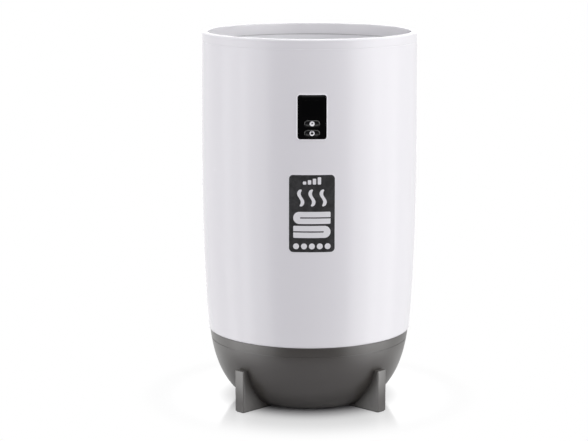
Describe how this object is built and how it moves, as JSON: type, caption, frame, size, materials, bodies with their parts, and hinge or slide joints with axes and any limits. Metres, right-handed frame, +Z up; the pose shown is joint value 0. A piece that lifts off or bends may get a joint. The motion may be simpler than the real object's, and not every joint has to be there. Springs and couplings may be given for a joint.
{
  "type": "towel warmer bucket",
  "caption": "Tall open-mouthed round towel warmer bucket: white drum on a dark grey bowl base with fin legs, heated metal liner inside, black front panel with oval push buttons.",
  "frame": {"origin": "on the floor under the drum's axis", "axes": "+Z up along the drum's axis, the control panel faces -Y, +X is to the right as seen from the front"},
  "size_m": [0.3022, 0.3033, 0.5215],
  "materials": {
    "shell_white": "glossy moulded white",
    "liner_coat": "satin pale grey coated aluminium",
    "base_grey": "fine satin texture, dark warm grey",
    "panel_black": "glossy black",
    "window_black": "smoked, polished",
    "button_black": "glossy black with a printed white ring icon",
    "label_print": "printed vinyl film, dark with a white border",
    "pad_rubber": "matt black rubber",
    "seal_silicone": "dark silicone",
    "felt": "grey-white needled felt",
    "foil": "bright foil",
    "support_plastic": "matt grey heat-resistant moulding",
    "black_plastic": "matt black moulding",
    "board_green": "green solder mask",
    "screw_steel": "zinc-plated steel",
    "standoff_brass": "turned brass",
    "relay_blue": "blue moulded case",
    "capacitor_yellow": "yellow moulded case",
    "transformer_iron": "dark ferrite and tape",
    "wire_white": "white silicone insulation",
    "wire_green": "green and yellow insulation",
    "terminal_green": "green moulded block"
  },
  "bodies": {
    "housing": {"outer_shell": "shell_white", "rim_ring": "shell_white", "rim_gasket": "seal_silicone", "liner": "liner_coat", "heating_foil": "foil", "insulation_sleeve": "felt", "base_heater": "foil", "liner_support": "support_plastic", "heat_shield": "foil", "shell_screws": "screw_steel", "bowl_screws": "screw_steel", "thermostat": "screw_steel", "thermal_fuse": "foil", "temperature_sensor": "black_plastic", "sensor_strap": "foil", "heater_leads": "wire_white", "ground_lead": "wire_green", "sensor_leads": "wire_white", "base_bowl": "base_grey", "seam_gasket": "seal_silicone", "bottom_cover": "base_grey", "bottom_cover_screws": "screw_steel", "leg_screws": "screw_steel", "cord_gland": "black_plastic", "gland_nut": "black_plastic", "panel_bezel": "panel_black", "display_window": "window_black", "timer_switch": "black_plastic", "power_switch": "black_plastic", "panel_board": "board_green", "display_module": "black_plastic", "panel_connector": "wire_white", "panel_back_cover": "black_plastic", "panel_screws": "screw_steel", "ribbon_cable": "wire_white", "front_label": "label_print", "board_standoffs": "standoff_brass", "control_board": "board_green", "board_screws": "screw_steel", "relay": "relay_blue", "transformer": "transformer_iron", "filter_capacitor": "black_plastic", "mains_capacitor": "capacitor_yellow", "buzzer": "black_plastic", "terminal_block": "terminal_green", "board_connector": "wire_white", "leg_front_right": "base_grey", "foot_pad_front_right": "pad_rubber", "leg_rear_right": "base_grey", "foot_pad_rear_right": "pad_rubber", "leg_rear_left": "base_grey", "foot_pad_rear_left": "pad_rubber", "leg_front_left": "base_grey", "foot_pad_front_left": "pad_rubber"},
    "timer_key": {"timer_button": "button_black", "timer_plunger": "black_plastic"},
    "power_key": {"power_button": "button_black", "power_plunger": "black_plastic"}
  },
  "joints": [
    {"name": "timer_press", "type": "slide", "parent": "housing", "child": "timer_key", "axis": [0, 1, 0], "range_m": [0, 0.0007], "stiffness_N_per_m": 2000, "springref_m": -0.0002},
    {"name": "power_press", "type": "slide", "parent": "housing", "child": "power_key", "axis": [0, 1, 0], "range_m": [0, 0.0007], "stiffness_N_per_m": 2000, "springref_m": -0.0002}
  ]
}
